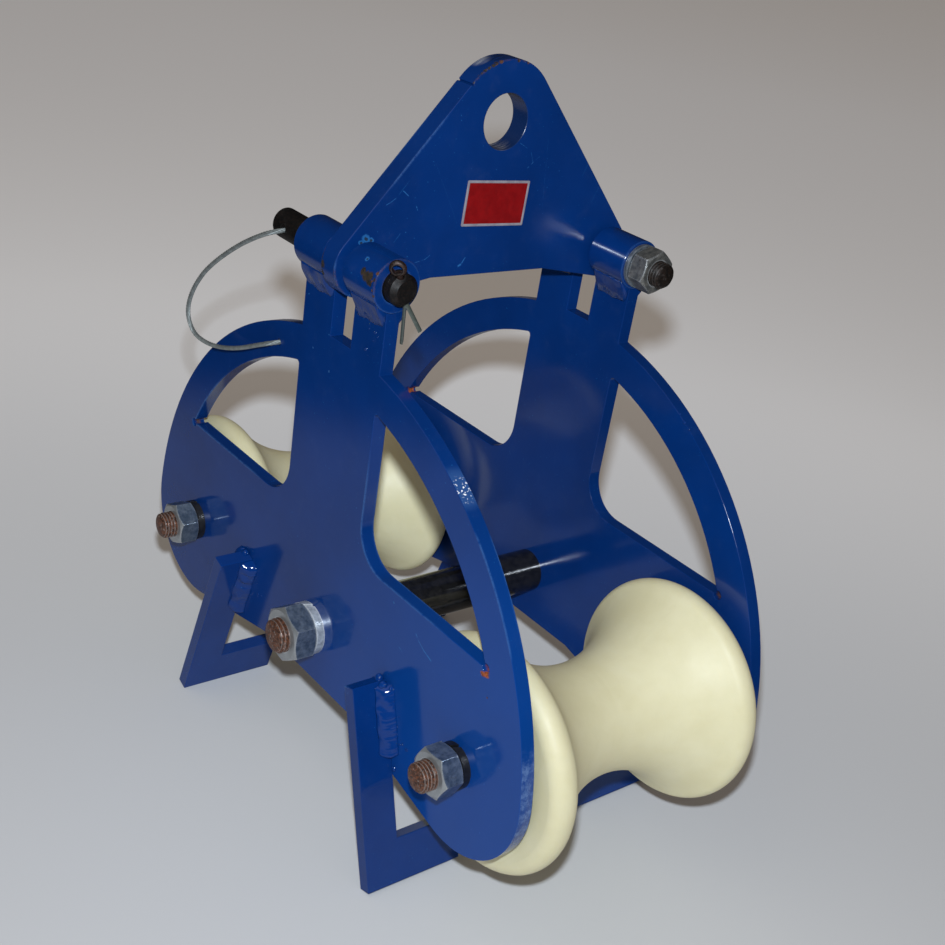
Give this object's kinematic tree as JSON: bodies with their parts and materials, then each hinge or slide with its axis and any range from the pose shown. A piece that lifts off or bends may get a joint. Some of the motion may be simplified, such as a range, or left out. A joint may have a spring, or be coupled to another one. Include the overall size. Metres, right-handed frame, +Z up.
{
  "type": "corner cable roller",
  "caption": "Corner cable roller: two hourglass rollers between half-disc side plates on feet, hung from a triangular plate with a lifting eye, a bolt and a hinge pin.",
  "frame": {"origin": "centre of the lifting eye in the hanger plate, 4 mm nearer the near plate than the middle of the frame", "axes": "+X along the side plates and the eye's axis, towards the right roller; +Y across the frame, along the roller axles, towards the far plate; +Z up"},
  "size_m": [0.402, 0.2165, 0.4129],
  "materials": {
    "blue_enamel": "glossy sprayed enamel over steel plate, chipped at edges",
    "black_enamel": "glossy black enamel",
    "cream_nylon": "satin turned cast nylon",
    "rusty_steel": "rusted bare steel",
    "dark_rusty_steel": "blackened steel with rust",
    "black_steel": "blackened steel",
    "zinc_plated_steel": "dull zinc plating",
    "bearing_steel": "ground steel",
    "galvanised_wire": "galvanised stranded wire"
  },
  "bodies": {
    "frame": {"centre_bolt": "rusty_steel", "centre_nut": "zinc_plated_steel", "centre_spacer_tube": "black_enamel", "centre_spring_washer": "zinc_plated_steel", "far_left_foot": "blue_enamel", "far_left_tube": "blue_enamel", "far_right_foot": "blue_enamel", "far_right_tube": "blue_enamel", "far_side_plate": "blue_enamel", "hanger_bolt": "black_steel", "hanger_nut": "zinc_plated_steel", "hanger_washer": "zinc_plated_steel", "lanyard_ferrules": "galvanised_wire", "lanyard_wire": "galvanised_wire", "left_bearing_inner_rings": "bearing_steel", "left_distance_tube": "zinc_plated_steel", "left_roller_axle": "rusty_steel", "near_left_foot": "blue_enamel", "near_left_tube": "blue_enamel", "near_right_foot": "blue_enamel", "near_right_tube": "blue_enamel", "near_side_plate": "blue_enamel", "right_bearing_inner_rings": "bearing_steel", "right_distance_tube": "zinc_plated_steel", "right_roller_axle": "rusty_steel", "roller_nuts": "zinc_plated_steel", "roller_sleeves": "zinc_plated_steel", "roller_spring_washers": "black_steel"},
    "left_roller_unit": {"left_bearing_outer_rings": "bearing_steel", "left_roller": "cream_nylon"},
    "right_roller_unit": {"right_bearing_outer_rings": "bearing_steel", "right_roller": "cream_nylon"},
    "left_ball_set": {"left_bearing_balls": "bearing_steel", "left_bearing_cages": "bearing_steel"},
    "right_ball_set": {"right_bearing_balls": "bearing_steel", "right_bearing_cages": "bearing_steel"},
    "hinge_pin_unit": {"hinge_pin": "dark_rusty_steel", "split_pin": "dark_rusty_steel"},
    "hanger": {"hanger_plate": "blue_enamel"}
  },
  "joints": [
    {"name": "left_roller_spin", "type": "hinge", "parent": "frame", "child": "left_roller_unit", "pos_m": [-0.1375, 0.004, -0.2804], "axis": [0, 1, 0], "continuous": true},
    {"name": "left_ball_set_spin", "type": "hinge", "parent": "frame", "child": "left_ball_set", "pos_m": [-0.1375, 0.004, -0.2804], "axis": [0, 1, 0], "continuous": true},
    {"name": "right_roller_spin", "type": "hinge", "parent": "frame", "child": "right_roller_unit", "pos_m": [0.1375, 0.004, -0.2804], "axis": [0, 1, 0], "continuous": true},
    {"name": "right_ball_set_spin", "type": "hinge", "parent": "frame", "child": "right_ball_set", "pos_m": [0.1375, 0.004, -0.2804], "axis": [0, 1, 0], "continuous": true},
    {"name": "hinge_pin_shift", "type": "slide", "parent": "frame", "child": "hinge_pin_unit", "axis": [1, 0, 0], "range_m": [-0.0003, 0.0008]},
    {"name": "hanger_side_shift", "type": "slide", "parent": "frame", "child": "hanger", "axis": [1, 0, 0], "range_m": [-0.003, 0.003]}
  ],
  "couplings": [
    {"joint": "left_ball_set_spin", "follows": "left_roller_spin", "ratio": 0.61842},
    {"joint": "right_ball_set_spin", "follows": "right_roller_spin", "ratio": 0.61842}
  ]
}
